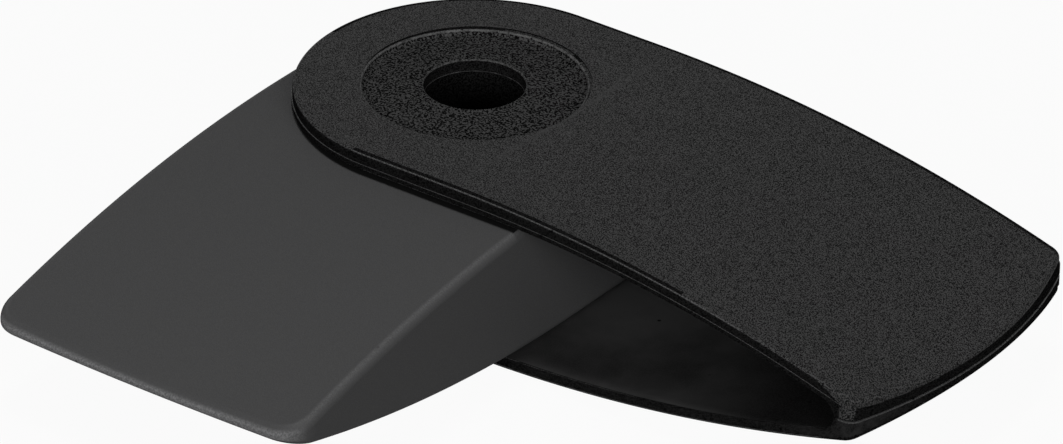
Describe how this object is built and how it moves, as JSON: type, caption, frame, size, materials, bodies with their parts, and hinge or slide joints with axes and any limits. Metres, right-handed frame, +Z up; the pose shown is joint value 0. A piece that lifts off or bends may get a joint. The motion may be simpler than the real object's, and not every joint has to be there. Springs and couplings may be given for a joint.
{
  "type": "eraser with sleeve",
  "caption": "Wedge of dark grey rubber that swivels on a hollow hub out of a black plastic sleeve, open along both sides, that covers it when closed.",
  "frame": {"origin": "centre of the underside of the bounding box, in the pictured pose with the rubber a quarter turn out of the sleeve", "axes": "+X along the sleeve from the pivot to its tip, -Y the way the rubber points, +Z up along the pivot axis"},
  "size_m": [0.055, 0.0498, 0.0126],
  "materials": {
    "black_plastic": "fine satin moulding grain, coarser in the dished ring",
    "grey_rubber": "smooth matte rubber"
  },
  "bodies": {
    "sleeve": {"upper_shell": "black_plastic", "lower_shell": "black_plastic"},
    "rubber": {"eraser": "grey_rubber"}
  },
  "joints": [
    {"name": "eraser_swivel", "type": "hinge", "parent": "sleeve", "child": "rubber", "pos_m": [-0.01461, 0.01204, 0.0063], "axis": [0, 0, 1], "continuous": true}
  ]
}
